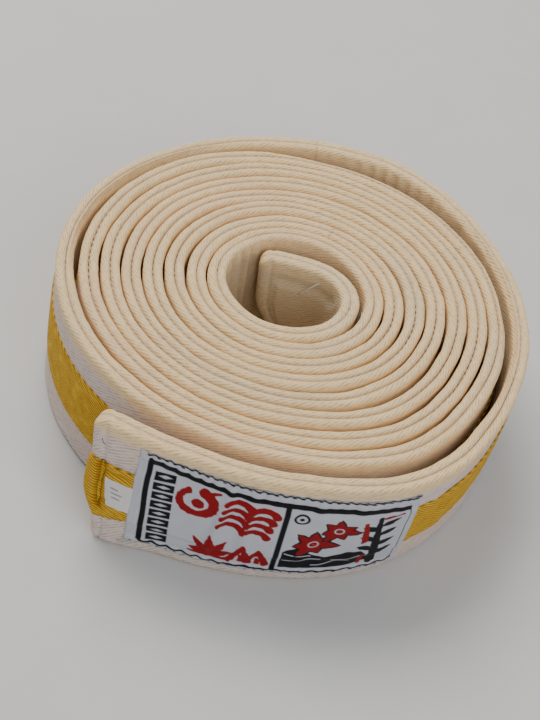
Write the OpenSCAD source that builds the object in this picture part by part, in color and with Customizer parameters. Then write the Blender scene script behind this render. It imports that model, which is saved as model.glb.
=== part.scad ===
// Rolled martial arts belt: one long sewn strap, standing on its edge as a close coil.
// The origin is at the middle of the coil's outline, at the height of what it stands on.
// The strap follows a path of arcs, each tangent to the next, from the end in the eye of
// the coil outwards and clockwise. Every sub-part is a cross-section laid along that path.
// In a cross-section x is the distance outwards from the middle of the strap's thickness.

/* [Strap] */
// Width of the strap, which is the height of the coil
belt_w = 45; // [40:1:50]
// Thickness of the sewn strap, without the stripe
belt_t = 5.7; // [4.6:0.1:5.8]
// Thickness of one cover
cover_t = 1; // [0.6:0.1:1.2]
// Width of the cover that is folded in along each edge
hem = 3.5; // [3:0.5:6]
// How far each fold is set in along the strap's edges
edge_in = 0.5; // [0.4:0.1:0.8]
// Height of that set-in part
edge_h = 0.8; // [0.6:0.1:1.5]
// Length of the straight piece at each end of the strap
tip_len = 6; // [5:0.5:9]
// Rounding of the strap's corners
corner_r = 4; // [2:0.5:5]

/* [Stripe] */
// Width of the coloured stripe
stripe_w = 21; // [12:1:26]
// Thickness of the coloured stripe
stripe_t = 0.5; // [0.3:0.1:0.6]
// Thickness of the sewing thread
thread_t = 0.4; // [0.3:0.05:0.45]

/* [Coil] */
// Distance from one turn to the next
pitch = 6.68; // [6.6:0.01:9]
// Number of whole turns that lie close together
close_turns = 7; // [2:1:9]
// Radius of the close coil's first quarter turn
coil_r = 22.4; // [22:0.1:40]

/* [Label and tag] */
// Distance from the strap's outer end to the label
label_from_tip = 13; // [11:1:20]
// Length of the label along the strap
label_len = 80; // [50:1:83]
// Width of the label across the strap
label_w = 37; // [30:1:39]
// Thickness of the label
label_t = 0.4; // [0.3:0.1:0.6]
// Length of the size tag that shows beside the label
tag_len = 8; // [4:1:8]
// Width of the size tag
tag_w = 10; // [8:1:14]

/* [Moving parts] */
// Length of the end flap that bends into the eye
flap_len = 20; // [17:1:24]
// Length of the stiff outer end that carries the label
tail_len = 104; // [100:1:110]
// Length of the second link from the outer end
second_len = 84; // [70:1:90]
// Length of the third link from the outer end
third_len = 66; // [50:1:70]

/* [Hidden] */
$fn = 64;

// Sizes across the strap
half_t = belt_t / 2;
ply_t = half_t - cover_t;
mid_z = belt_w / 2;
stripe_out = half_t + stripe_t;
label_out = stripe_out + label_t;
seam_half = 0.4;
seam_drop = 0.1;
end_seam_in = 3.5;
end_seam_t = 0.15;

// The path, as [sweep in degrees, radius] of each arc, from the eye outwards
flap_arcs = [[15, 47.5], [80, 15.5], [90, 20]];
quarters = 4 * close_turns;
close_arcs = [for (q = [0:quarters - 1]) [90, coil_r + q * pitch / 4]];
last_close_arc = [60, coil_r + quarters * pitch / 4];
loose_arcs = [[64, 70], [61, 80], [38, 48], [29, 95], [64, 81], [26, 60], [34, 105]];
ARCS = concat(flap_arcs, close_arcs, [last_close_arc], loose_arcs);
LAST = len(ARCS) - 1;

function away(a) = [cos(a), sin(a)];
function arc_len(i) = ARCS[i][0] * PI / 180 * ARCS[i][1];

// For each arc: the direction outwards at its start, its centre and the length before it
first_dir = 95;
DIRS = [for (i = 0, a = first_dir; i <= LAST; a = a - ARCS[i][0], i = i + 1) a];
BEFORE = [for (i = 0, s = tip_len; i <= LAST; s = s + arc_len(i), i = i + 1) s];
function step_in(i) = i < 1 ? [0, 0] : (ARCS[i - 1][1] - ARCS[i][1]) * away(DIRS[i]);
RAW = [for (i = 0, c = [0, 0]; i <= LAST; i = i + 1, c = i > LAST ? c : c + step_in(i)) c];
arcs_end = BEFORE[LAST] + arc_len(LAST);
strap_len = arcs_end + tip_len;
last_dir = DIRS[LAST] - ARCS[LAST][0];

// The middle of the close coil, moved so that the outline's middle is at the origin
close_at = len(flap_arcs);
coil_mid = (RAW[close_at] + RAW[close_at + 1] + RAW[close_at + 2] + RAW[close_at + 3]) / 4;
outline_shift = [-1.55, 2.37];
function centre(i) = RAW[i] - coil_mid + outline_shift;

// A point at length s along the strap and distance d outwards from its middle
function arc_point(i, s, d) = centre(i)
    + (ARCS[i][1] + d) * away(DIRS[i] - (s - BEFORE[i]) / ARCS[i][1] * 180 / PI);
function flap_point(s, d) = arc_point(0, tip_len, d) - (tip_len - s) * away(first_dir - 90);
function tail_point(s, d) = arc_point(LAST, arcs_end, d) + (s - arcs_end) * away(last_dir - 90);
function arc_at(s) = len([for (b = BEFORE) if (b <= s) b]) - 1;
function point(s, d) = s <= tip_len ? flap_point(s, d)
    : s >= arcs_end ? tail_point(s, d)
    : arc_point(arc_at(s), s, d);

// Where the outlines turn between two lengths: finer on the loose turn than in the close coil
close_step = 10;
loose_step = 5;
function steps(i) = ceil(ARCS[i][0] / (i > close_at + quarters ? loose_step : close_step));
KNOTS = concat([for (i = [0:LAST], k = [0:steps(i) - 1]) BEFORE[i] + arc_len(i) * k / steps(i)],
               [arcs_end]);
function between(from, to) =
    concat([from], [for (s = KNOTS) if (s > from + 0.01 && s < to - 0.01) s], [to]);
function backwards(list) = [for (i = [len(list) - 1:-1:0]) list[i]];
function edge(from, to, d) = [for (s = between(from, to)) point(s, d)];

// Where the strap bends, as lengths along it
tail_cut = strap_len - tail_len;
second_cut = tail_cut - second_len;
third_cut = second_cut - third_len;
FLAP = [0, flap_len];
ROLL = [flap_len, third_cut];
THIRD = [third_cut, second_cut];
SECOND = [second_cut, tail_cut];
TAIL = [tail_cut, strap_len];

// ---- Laying a layer along the path ----

// A band between two distances from the middle, from one height to another
module band(from, to, in, out, low, high) {
    translate([0, 0, low]) linear_extrude(high - low)
        polygon(concat(edge(from, to, out), backwards(edge(from, to, in))));
}

// Cuts what rounds the strap's corners off at a straight end
module round_corners(span) {
    difference() {
        children();
        if (span[1] == strap_len) at_end(tail_point(arcs_end, 0), last_dir, 1) corner_cuts();
        if (span[0] == 0) at_end(flap_point(tip_len, 0), first_dir, 0) corner_cuts();
    }
}

// Places the children so that x points outwards and y along the strap towards its end
module at_end(at, dir, flip) {
    translate([at[0], at[1], 0]) rotate([0, 0, dir]) mirror([0, flip, 0]) children();
}

module corner_cuts() {
    for (up = [0, 1])
        translate([-belt_t, tip_len - corner_r, up * belt_w]) mirror([0, 0, up]) difference() {
            translate([0, 0, -1]) cube([2 * belt_t, corner_r + 2, corner_r + 1]);
            translate([-1, 0, corner_r]) rotate([0, 90, 0]) cylinder(r = corner_r, h = 2 * belt_t + 2);
        }
}

// ---- The strap's layers over one stretch of it ----

// One folded cover. side is 1 for the outer one and -1 for the inner one
module cover(span, side) {
    color("antiquewhite") round_corners(span) {
        for (z = [[0, edge_h], [belt_w - edge_h, belt_w]])
            sided_band(span, side, edge_in, half_t - edge_in, z[0], z[1]);
        for (z = [[edge_h, hem], [belt_w - hem, belt_w - edge_h]])
            sided_band(span, side, 0, half_t, z[0], z[1]);
        translate([0, 0, hem]) linear_extrude(belt_w - 2 * hem) polygon(cover_outline(span, side));
    }
}

module sided_band(span, side, near, far, low, high) {
    band(span[0], span[1], min(side * near, side * far), max(side * near, side * far), low, high);
}

// The cover's wall seen from above. At the strap's own ends the cover is folded in too
function cover_outline(span, side) =
    let (from = span[0] == 0 ? hem : span[0],
         to = span[1] == strap_len ? strap_len - hem : span[1])
    concat(edge(span[0], span[1], side * half_t),
           to < span[1] ? [point(span[1], 0), point(to, 0)] : [],
           backwards(edge(from, to, side * ply_t)),
           from > span[0] ? [point(from, 0), point(span[0], 0)] : []);

module ply(span, side) {
    from = span[0] == 0 ? hem : span[0];
    to = span[1] == strap_len ? strap_len - hem : span[1];
    color("ivory") sided_band([from, to], side, 0, ply_t, hem, belt_w - hem);
}

// The stripe folds over the strap's end and stops at its inner face
module stripe(span) {
    color("gold") translate([0, 0, mid_z - stripe_w / 2]) linear_extrude(stripe_w)
        polygon(concat(stripe_fold(span[0] == 0, -stripe_t, 0), edge(span[0], span[1], stripe_out),
                       stripe_fold(span[1] == strap_len, strap_len + stripe_t, strap_len),
                       backwards(edge(span[0], span[1], half_t))));
}

function stripe_fold(here, beyond, at) = !here ? []
    : at > 0 ? [point(beyond, stripe_out), point(beyond, -half_t), point(at, -half_t)]
    : [point(at, -half_t), point(beyond, -half_t), point(beyond, stripe_out)];

module stripe_seams(span) {
    color("goldenrod") for (z = [mid_z - stripe_w / 2 - thread_t, mid_z + stripe_w / 2])
        band(span[0], span[1], half_t, half_t + thread_t, z, z + thread_t);
}

// The seam lies in the groove between the covers, and stops before the strap's rounded corners
module edge_seam(span, up) {
    from = span[0] == 0 ? corner_r : span[0];
    to = span[1] == strap_len ? strap_len - corner_r : span[1];
    low = up ? belt_w - edge_h : seam_drop;
    color("linen") band(from, to, -seam_half, seam_half, low, low + edge_h - seam_drop);
}

// ---- Roll: the close turns and the start of the loose one ----

module roll_outer_cover() cover(ROLL, 1);
module roll_inner_cover() cover(ROLL, -1);
module roll_outer_ply() ply(ROLL, 1);
module roll_inner_ply() ply(ROLL, -1);
module roll_stripe() stripe(ROLL);
module roll_stripe_seams() stripe_seams(ROLL);
module roll_top_seam() edge_seam(ROLL, true);
module roll_bottom_seam() edge_seam(ROLL, false);

// ---- Third link from the outer end ----

module third_outer_cover() cover(THIRD, 1);
module third_inner_cover() cover(THIRD, -1);
module third_outer_ply() ply(THIRD, 1);
module third_inner_ply() ply(THIRD, -1);
module third_stripe() stripe(THIRD);
module third_stripe_seams() stripe_seams(THIRD);
module third_top_seam() edge_seam(THIRD, true);
module third_bottom_seam() edge_seam(THIRD, false);

// ---- Second link from the outer end ----

module second_outer_cover() cover(SECOND, 1);
module second_inner_cover() cover(SECOND, -1);
module second_outer_ply() ply(SECOND, 1);
module second_inner_ply() ply(SECOND, -1);
module second_stripe() stripe(SECOND);
module second_stripe_seams() stripe_seams(SECOND);
module second_top_seam() edge_seam(SECOND, true);
module second_bottom_seam() edge_seam(SECOND, false);

// ---- Tail: the stiff outer end ----

module tail_outer_cover() cover(TAIL, 1);
module tail_inner_cover() cover(TAIL, -1);
module tail_outer_ply() ply(TAIL, 1);
module tail_inner_ply() ply(TAIL, -1);
module tail_stripe() stripe(TAIL);
module tail_stripe_seams() stripe_seams(TAIL);
module tail_top_seam() edge_seam(TAIL, true);
module tail_bottom_seam() edge_seam(TAIL, false);

// ---- Flap: the end in the eye of the coil ----

module flap_outer_cover() cover(FLAP, 1);
module flap_inner_cover() cover(FLAP, -1);
module flap_outer_ply() ply(FLAP, 1);
module flap_inner_ply() ply(FLAP, -1);
module flap_stripe() stripe(FLAP);
module flap_stripe_seams() stripe_seams(FLAP);
module flap_top_seam() edge_seam(FLAP, true);
module flap_bottom_seam() edge_seam(FLAP, false);

// ---- What is sewn onto the strap ----

label_to = strap_len - label_from_tip;
label_at = label_to - label_len;
label_low = mid_z - label_w / 2;
label_high = mid_z + label_w / 2;
label_hem = (label_w - stripe_w) / 2 - thread_t;
label_seam_in = 1.2;

// The label lies on the stripe, and its folded hems reach down to the cover beside it
module label() {
    color("white") {
        band(label_at, label_to, stripe_out, label_out, label_low + label_hem, label_high - label_hem);
        for (z = [label_low, label_high - label_hem])
            band(label_at, label_to, half_t, label_out, z, z + label_hem);
    }
}

module label_seam() {
    from = label_at + label_seam_in;
    to = label_to - label_seam_in;
    low = label_low + label_seam_in;
    high = label_high - label_seam_in;
    out = label_out + thread_t / 2;
    color("dimgray") {
        for (z = [low, high - thread_t]) band(from, to, label_out, out, z, z + thread_t);
        for (s = [from, to - thread_t])
            band(s, s + thread_t, label_out, out, low + thread_t, high - thread_t);
    }
}

module size_tag() {
    color("snow") band(label_to, label_to + tag_len, stripe_out, stripe_out + thread_t / 2,
                       mid_z - tag_w / 2, mid_z + tag_w / 2);
}

// A row of stitches across the stripe, just inside the strap's end
module end_seam(s, in, out) {
    band(s, s + thread_t, in, out, mid_z - stripe_w / 2 + 1, mid_z + stripe_w / 2 - 1);
}

module tail_end_seam() {
    color("goldenrod") end_seam(strap_len - end_seam_in, stripe_out, stripe_out + end_seam_t);
}

module flap_end_seam() {
    color("linen") {
        end_seam(end_seam_in, stripe_out, stripe_out + end_seam_t);
        end_seam(end_seam_in, -half_t - end_seam_t, -half_t);
    }
}

roll_outer_cover();
roll_inner_cover();
roll_outer_ply();
roll_inner_ply();
roll_stripe();
roll_stripe_seams();
roll_top_seam();
roll_bottom_seam();
third_outer_cover();
third_inner_cover();
third_outer_ply();
third_inner_ply();
third_stripe();
third_stripe_seams();
third_top_seam();
third_bottom_seam();
second_outer_cover();
second_inner_cover();
second_outer_ply();
second_inner_ply();
second_stripe();
second_stripe_seams();
second_top_seam();
second_bottom_seam();
tail_outer_cover();
tail_inner_cover();
tail_outer_ply();
tail_inner_ply();
tail_stripe();
tail_stripe_seams();
tail_top_seam();
tail_bottom_seam();
flap_outer_cover();
flap_inner_cover();
flap_outer_ply();
flap_inner_ply();
flap_stripe();
flap_stripe_seams();
flap_top_seam();
flap_bottom_seam();
label();
label_seam();
size_tag();
tail_end_seam();
flap_end_seam();
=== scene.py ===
import math

import bpy
import numpy as np
from mathutils import Matrix, Vector


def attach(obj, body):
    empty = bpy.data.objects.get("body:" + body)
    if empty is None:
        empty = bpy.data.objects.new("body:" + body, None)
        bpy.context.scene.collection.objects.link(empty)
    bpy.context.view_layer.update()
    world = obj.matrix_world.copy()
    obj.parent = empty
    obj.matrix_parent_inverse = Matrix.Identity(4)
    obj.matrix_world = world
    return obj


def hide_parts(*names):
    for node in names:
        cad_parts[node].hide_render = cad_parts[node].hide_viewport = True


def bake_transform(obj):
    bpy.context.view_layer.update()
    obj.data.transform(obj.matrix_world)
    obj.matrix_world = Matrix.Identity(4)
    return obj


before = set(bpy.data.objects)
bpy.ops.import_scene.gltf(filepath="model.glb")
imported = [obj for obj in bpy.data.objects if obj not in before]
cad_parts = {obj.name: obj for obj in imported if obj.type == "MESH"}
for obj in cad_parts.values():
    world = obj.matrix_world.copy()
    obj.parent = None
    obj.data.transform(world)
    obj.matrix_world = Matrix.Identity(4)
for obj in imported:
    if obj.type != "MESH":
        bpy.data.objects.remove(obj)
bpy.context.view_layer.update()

# ---- the strap, as in the CAD
# Lengths are in millimetres. s runs along the strap from its inner end, d outwards from the
# middle of its thickness, and z up. t is the distance from the strap's outer end, and q the
# height as a share of the strap's width.
MM = 0.001
BELT_W = 45.0
MID_Z = BELT_W / 2
HALF_T = 2.85
PITCH = 6.68
COIL_R = 22.4
CLOSE_TURNS = 7
TIP_LEN = 6.0
FIRST_DIR = 95.0
OUTLINE_SHIFT = np.array([-1.55, 2.37])
STRIPE_LOW, STRIPE_HIGH = 12.0, 33.0
STRIPE_HALF = (STRIPE_HIGH - STRIPE_LOW) / 2
STRIPE_OUT = 3.35

# each arc's sweep in degrees and its radius
FLAP_ARCS = [(15, 47.5), (80, 15.5), (90, 20)]
CLOSE_ARCS = [(90, COIL_R + k * PITCH / 4) for k in range(4 * CLOSE_TURNS)]
LAST_CLOSE_ARC = [(60, COIL_R + CLOSE_TURNS * PITCH)]
LOOSE_ARCS = [(64, 70), (61, 80), (38, 48), (29, 95), (64, 81), (26, 60), (34, 105)]
ARCS = np.array(FLAP_ARCS + CLOSE_ARCS + LAST_CLOSE_ARC + LOOSE_ARCS, float)


def away(degrees):
    """Unit vectors in the given directions."""
    a = np.radians(degrees)
    return np.stack([np.cos(a), np.sin(a)], axis=-1)


SWEEP, RADIUS = ARCS[:, 0], ARCS[:, 1]
DIRS = FIRST_DIR - np.concatenate([[0], np.cumsum(SWEEP)])
STARTS = TIP_LEN + np.concatenate([[0], np.cumsum(np.radians(SWEEP) * RADIUS)])
ARCS_END, STARTS = STARTS[-1], STARTS[:-1]
STRAP_LEN = ARCS_END + TIP_LEN
STEPS = (RADIUS[:-1] - RADIUS[1:])[:, None] * away(DIRS[1:-1])
CENTRES = np.concatenate([[[0, 0]], np.cumsum(STEPS, axis=0)])
FIRST_TURN = slice(len(FLAP_ARCS), len(FLAP_ARCS) + 4)
CENTRES = CENTRES - CENTRES[FIRST_TURN].mean(axis=0) + OUTLINE_SHIFT

# where the strap bends at a joint, and where the label is sewn on
FLAP_CUT = 20.0
TAIL_CUT = STRAP_LEN - 104.0
SECOND_CUT = TAIL_CUT - 84.0
THIRD_CUT = SECOND_CUT - 66.0
LABEL_TO = STRAP_LEN - 13.0
LABEL_LONG = 80.0
LABEL_AT = LABEL_TO - LABEL_LONG


def on_arc(s):
    """The length held to the arcs, the arc that it is on, and the way the outer face looks."""
    on = np.clip(s, TIP_LEN, ARCS_END)
    i = np.clip(np.searchsorted(STARTS, on, side="right") - 1, 0, len(RADIUS) - 1)
    return on, i, DIRS[i] - np.degrees((on - STARTS[i]) / RADIUS[i])


def point(s, d):
    """x and y of the place at length s along the strap and distance d outside its middle."""
    s, d = np.broadcast_arrays(np.asarray(s, float), np.asarray(d, float))
    on, i, turn = on_arc(s)
    outwards = (RADIUS[i] + d)[..., None] * away(turn)
    return CENTRES[i] + outwards + (s - on)[..., None] * away(turn - 90)


# ---- curves and seeded noise
def smooth(a, b, x):
    """Rises smoothly from 0 at a to 1 at b."""
    t = np.clip((np.asarray(x, float) - a) / (b - a), 0, 1)
    return t * t * (3 - 2 * t)


def fall(a, b, x):
    """Falls smoothly from 1 at a to 0 at b."""
    return 1 - smooth(a, b, x)


def hump(x, middle, width):
    """A bell of height 1."""
    return np.exp(-(((np.asarray(x, float) - middle) / width) ** 2))


def wave(x, step, seed):
    """Smooth noise between -1 and 1 that turns about once in each step."""
    table = np.random.RandomState(seed).uniform(-1, 1, 4096)
    g = np.asarray(x, float) / step + 512
    i = np.floor(g).astype(int)
    f = g - i
    f = f * f * (3 - 2 * f)
    return table[i % 4096] * (1 - f) + table[(i + 1) % 4096] * f


def wave2(x, y, step_x, step_y, seed):
    """The same over two directions."""
    table = np.random.RandomState(seed).uniform(-1, 1, (512, 64))
    x, y = np.broadcast_arrays(np.asarray(x, float), np.asarray(y, float))
    gx, gy = x / step_x + 64, y / step_y + 16
    i, j = np.floor(gx).astype(int), np.floor(gy).astype(int)
    f, g = gx - i, gy - j
    f, g = f * f * (3 - 2 * f), g * g * (3 - 2 * g)
    a = table[i % 512, j % 64] * (1 - f) + table[(i + 1) % 512, j % 64] * f
    b = table[i % 512, (j + 1) % 64] * (1 - f) + table[(i + 1) % 512, (j + 1) % 64] * f
    return a * (1 - g) + b * g


# ---- how the real roll leans and sags
def top_lean(t):
    """How far the loose turn's top edge leans out, by distance from the outer end."""
    return 4.1 * hump(t, 96, 27) - 2.9 * fall(18, 58, t) + 0.7 * hump(t, 175, 26)


def low_lean(t):
    """How far its bottom edge lies out or, where the turn is twisted, in."""
    inward = 1.7 * smooth(8, 24, t) + 0.4 * smooth(58, 76, t)
    return 1.4 * fall(4, 20, t) - inward * fall(125, 175, t)


GAP_AT = STRAP_LEN - 546.0  # the middle of the open gap at the front right


def spread(s):
    """How far the outer turns of the coil bulge out towards the open gap behind the tail."""
    t = STRAP_LEN - s
    off = (on_arc(s)[2] - on_arc(GAP_AT)[2] + 180) % 360 - 180
    return 3.8 * hump(off, 0, 23) * smooth(300, 450, t) * fall(520, 2300, t) ** 1.2


def lean(s, z):
    t, q = STRAP_LEN - s, z / BELT_W
    return low_lean(t) * (1 - q) + top_lean(t) * q + spread(s) * (0.6 + 0.4 * q)


def lift(s):
    """How far the top edge stands above or below its nominal height."""
    t = STRAP_LEN - s
    uneven = 0.45 * wave(s, 47, 3) + 0.14 * wave(s, 11, 4)
    tip = -0.6 * fall(20, 130, t) + 0.6 * fall(0, 24, t)
    return uneven + tip - 2.2 * fall(0, 50, s)


def wobble(s, z):
    """How far the edges of the strap wander in and out."""
    edge = smooth(14, 22, np.abs(z - MID_Z))
    rough = 0.40 * hump(STRAP_LEN - s, 228, 34) * wave(s, 6.5, 8) * smooth(26, 42, z)
    return (0.24 * wave(s, 21, 5) + 0.07 * wave(s, 6, 6)) * edge + rough


def slide(s, z):
    """How far the ends, which are not quite square, move a point along the strap."""
    t, q = STRAP_LEN - s, z / BELT_W
    bulge = 1.5 + 1.2 * smooth(26, 42, z) - 3.7 * fall(4, 20, z)
    set_back = 3.2 * (1 - q) + 11.0 * fall(0.0, 0.6, q)
    return set_back * fall(0, 38, s) + bulge * fall(0, 14, t)


def place(s, d, z):
    """Rows of x, y and z in metres."""
    s, d, z = (np.asarray(a, float) for a in (s, d, z))
    s, d, z = np.broadcast_arrays(s, d, z)
    s = s + slide(s, z)
    xy = point(s, d + lean(s, z) + wobble(s, z))
    high = z + lift(s) * smooth(0, BELT_W, z)
    return np.concatenate([xy, high[..., None]], axis=-1) * MM


def outer_relief(s, z):
    t = STRAP_LEN - s
    # the tip, the creases behind the label, the puckers at the back right and the loose turn
    out = 0.38 * fall(9, 20, t) * fall(7, 12, z) * wave2(s + z, z, 4.0, 3.0, 12)
    out = out + 0.40 * hump(t, 106, 9) * wave2(s + 0.6 * z, z, 3.2, 12, 13)
    out = out + 0.35 * hump(t, 261, 22) * np.sin(s / 1.75 + 0.02 * z)
    return out + 0.22 * hump(t, 341, 60) * wave2(s, z, 7, 20, 14)


def inner_relief(s, z, flat):
    t = STRAP_LEN - s
    # upright wrinkles in the eye, on the bent flap and on the wall across from it
    out = 0.55 * smooth(24, 60, s) * fall(170, 260, s) * flat
    out = out * wave2(s + 0.15 * z, z, 2.6, 26, 15)
    out = out + 0.40 * hump(s, 33, 9) * wave2(s - 0.5 * z, z, 2.4, 9, 16) * (0.4 + 0.6 * flat)
    crumple = np.sin(2 * np.pi * (s + 0.12 * z) / 5.0 + 1.6 * wave(s, 7, 18))
    out = out + (0.5 + 0.9 * crumple) * hump(s, 119, 10) * smooth(4, 16, z)
    low = fall(16, 30, z)
    out = out + 1.3 * hump(s, 50, 9) * wave2(s - 0.3 * z, z, 2.6, 14, 19) * low
    # the stripe's turned-over end shows through the flap as a box, with a dent above it
    box = smooth(5.4, 7.2, s) * fall(29, 32, s)
    box = box * smooth(7.5, 9.5, z) * fall(34.5, 36.5, z)
    dent = hump(z, 37.4, 1.0) * smooth(4, 7, s) * fall(28, 34, s)
    out = out + 0.75 * box - 0.55 * dent
    # the puckered stretch at the back right and the loose turn
    pucker = 0.5 + 0.5 * np.sin(2 * np.pi * s / 5.2 + wave(s, 9, 18))
    out = out + 0.85 * hump(t, 258, 22) * pucker * smooth(8, 30, z)
    return out + 0.18 * fall(150, 420, t) * wave2(s, z, 6, 18, 17)


def relief(side, s, z):
    """How far the face of a cover stands proud of its plane."""
    flat = fall(14, 19.5, np.abs(z - MID_Z))
    shape = outer_relief(s, z) if side > 0 else inner_relief(s, z, flat)
    return 0.05 * wave2(s, z, 8, 7, 11) + shape


# ---- the strap's two ends
def end_distance(s):
    return np.minimum(s, STRAP_LEN - s)


def end_height(s):
    """Share of the belt's width that is left at the rounded end corners."""
    e, r = np.clip(end_distance(s), 0, None), 4.6
    cut = np.where(e < r, r - np.sqrt(np.clip(r * r - (r - e) ** 2, 0, None)), 0)
    return 1 - cut / MID_Z


def end_thickness(s):
    """Share of the thickness that is left at the folded ends, with a groove at the end seam."""
    e, r = np.clip(end_distance(s), 0, None), 2.4
    full = np.where(e < r, np.sqrt(np.clip(1 - ((r - e) / r) ** 2, 0, 1)), 1.0)
    groove = 0.16 * hump(e, 4.1, 0.7)
    return 0.22 + 0.78 * full - groove


# ---- mesh making
def give(mesh, name, kind, field, values):
    rows = mesh.attributes.new(name, kind, "POINT")
    rows.data.foreach_set(field, np.ascontiguousarray(values, np.float32).ravel())


def new_object(name, verts, quads, caps, weave, colours=None):
    """A mesh from numpy arrays. The caps are many-sided faces, which are shaded flat."""
    mesh = bpy.data.meshes.new(name)
    mesh.vertices.add(len(verts))
    mesh.vertices.foreach_set("co", np.ascontiguousarray(verts, np.float32).ravel())
    loops = np.concatenate([quads.ravel()] + [np.asarray(c) for c in caps]).astype(np.int32)
    sizes = np.concatenate([np.full(len(quads), 4), [len(c) for c in caps]]).astype(np.int32)
    mesh.loops.add(len(loops))
    mesh.loops.foreach_set("vertex_index", loops)
    mesh.polygons.add(len(sizes))
    loop_starts = np.concatenate([[0], np.cumsum(sizes)[:-1]]).astype(np.int32)
    mesh.polygons.foreach_set("loop_start", loop_starts)
    soft = np.ones(len(sizes), bool)
    soft[len(quads):] = False
    mesh.polygons.foreach_set("use_smooth", soft)
    mesh.update(calc_edges=True)
    if mesh.validate():
        print("mesh corrected:", name)
    give(mesh, "weave", "FLOAT_VECTOR", "vector", weave)
    if colours is not None:
        give(mesh, "paint", "FLOAT_COLOR", "color", colours)
    o = bpy.data.objects.new(name, mesh)
    bpy.context.scene.collection.objects.link(o)
    return o


def ring_quads(index):
    """Four-sided faces between each ring of vertices and the next."""
    a, b = index[:-1], index[1:]
    return np.stack([a, np.roll(a, -1, 1), np.roll(b, -1, 1), b], axis=-1).reshape(-1, 4)


def volume_sign(corners):
    """Above 0 where faces with these corners look outwards, round a closed shape."""
    a, b, c, d = (corners[:, k] for k in range(4))
    return np.einsum("ij,ij->i", a, np.cross(b, c) + np.cross(c, d)).sum()


def swept(s, d, z, v, mask=None):
    """One closed run of rings: s, d, z and v are (columns, ring) arrays. Gives vertices, faces,
    caps and weave rows, which hold the lengths along and round the strap and a mask."""
    verts = place(s, d, z).reshape(-1, 3)
    index = np.arange(s.size).reshape(s.shape)
    quads, caps = ring_quads(index), [list(index[0][::-1]), list(index[-1])]
    if volume_sign(verts[quads]) < 0:
        quads, caps = quads[:, ::-1], [c[::-1] for c in caps]
    edge = smooth(*EDGE_FADE, z) if mask is None else mask
    return verts, quads, caps, np.stack([s, v, edge], axis=-1).reshape(-1, 3)


def joined(parts):
    """Several runs as one set of arrays."""
    verts, quads, caps, weave = zip(*parts)
    first = np.cumsum([0] + [len(rows) for rows in verts])
    quads = [faces + at for faces, at in zip(quads, first)]
    caps = [[i + at for i in cap] for run, at in zip(caps, first) for cap in run]
    return np.concatenate(verts), np.concatenate(quads), caps, np.concatenate(weave)


def columns(a, b, step):
    """Places along the strap from a to b, closer together at the strap's own ends."""
    s = np.linspace(a, b, max(2, int(round((b - a) / step)) + 1))
    close = np.arange(0, TIP_LEN, 0.25)
    if a < 1:
        s = np.unique(np.concatenate([close, s[s > TIP_LEN]]))
    if b > STRAP_LEN - 1:
        s = np.unique(np.concatenate([s[s < STRAP_LEN - TIP_LEN], STRAP_LEN - close]))
    return s


def grid(s, ring):
    """The same length for each place in a ring, and the same ring for each length."""
    return s[:, None] + 0 * ring, ring + 0 * s[:, None]


# ---- covers and plies
EDGE_STITCH = 3.0  # from one edge stitch to the next
EDGE_FADE = (39.1, 42.1)  # heights between which the face's colour gives way to the edge's
FOLD_MID = 1.52  # distance from the middle plane to the middle of a fold
FOLD_TOP = 1.34
FACE_TOP, FACE_LOW = 43.4, 1.6  # heights of the middles of the folds
GROOVE_FLOOR = 2.45  # how far the fold goes down inside the groove


def groove(s):
    """How deep the groove between the two folds is, below their tops."""
    deep = 1.15 + 0.45 * wave(s, 37, 28) + 0.25 * wave(s, 12, 29)
    t = STRAP_LEN - s
    shut = 0.75 * smooth(125, 155, t) * fall(290, 330, t)
    return 0.15 + (deep - 0.15) * smooth(18, 80, end_distance(s)) * (1 - shut)


def cover_ring(fine):
    """One cover's cross-section, from the top groove round the outside to the bottom one and back
    along the inside: distance from the middle plane, height, how much of the face's relief each
    place takes and how much of the groove's pinching, whether it is on the outside, and the
    length round the outside."""
    if fine:
        top = np.radians([212, 190, 165, 138, 112, 88, 62, 36, 12, -14])
        low = np.radians([-14, 14, 50, 88, 126, 165, 200])
        faces = np.arange(40.5, 4.4, -1.2)
    else:
        top = np.radians([210, 180, 145, 112, 80, 46, 14, -14])
        low = np.radians([-14, 30, 88, 146, 200])
        faces = np.array([39.5, 22.5, 5.5])
    folds_e = FOLD_MID + 1.48 * np.cos(top), FOLD_MID + 1.55 * np.cos(low)
    folds_z = FACE_TOP + 1.6 * np.sin(top), FACE_LOW - 1.6 * np.sin(low)
    inside_e, inside_z = [0.05, 1.62, 1.62, 0.05], [2.45, 2.5, 41.4, 41.45]
    e = np.concatenate([folds_e[0], np.full(len(faces), HALF_T), folds_e[1], inside_e])
    z = np.concatenate([folds_z[0], faces, folds_z[1], inside_z])
    first_face, outside = len(top), len(top) + len(faces) + len(low)
    last_face = first_face + len(faces)
    on_face = np.zeros(len(e))
    on_face[first_face:last_face] = 1
    on_face[first_face - 1] = on_face[last_face] = 0.6
    skin = np.arange(len(e)) < outside
    pinch = np.where(skin & (e < 1.0), 1 - e / 1.0, 0) * np.where(z > MID_Z, 1, 0.5)
    # the shallow channel along each turned-in edge
    near = np.minimum(np.abs(z - 41.2), np.abs(z - 3.8))
    e = np.where(skin, e - 0.10 * hump(near, 0, 1.1) * (on_face > 0), e)
    v = np.concatenate([[0], np.cumsum(np.hypot(np.diff(e), np.diff(z)))])
    v[outside:] = v[outside - 1]
    return e, z, on_face, pinch, skin, v


def pulled_back(side, s):
    """How much the fold is pulled back where the loose turn stands off the coil, and how far
    down that brings its top."""
    t = STRAP_LEN - s
    if side > 0:
        return 0.8 * smooth(580, 620, t) * fall(700, 740, t), 0.6
    left = smooth(300, 345, t) * fall(380, 430, t)
    return left + 0.75 * smooth(115, 145, t) * fall(205, 240, t), 1.6


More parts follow.
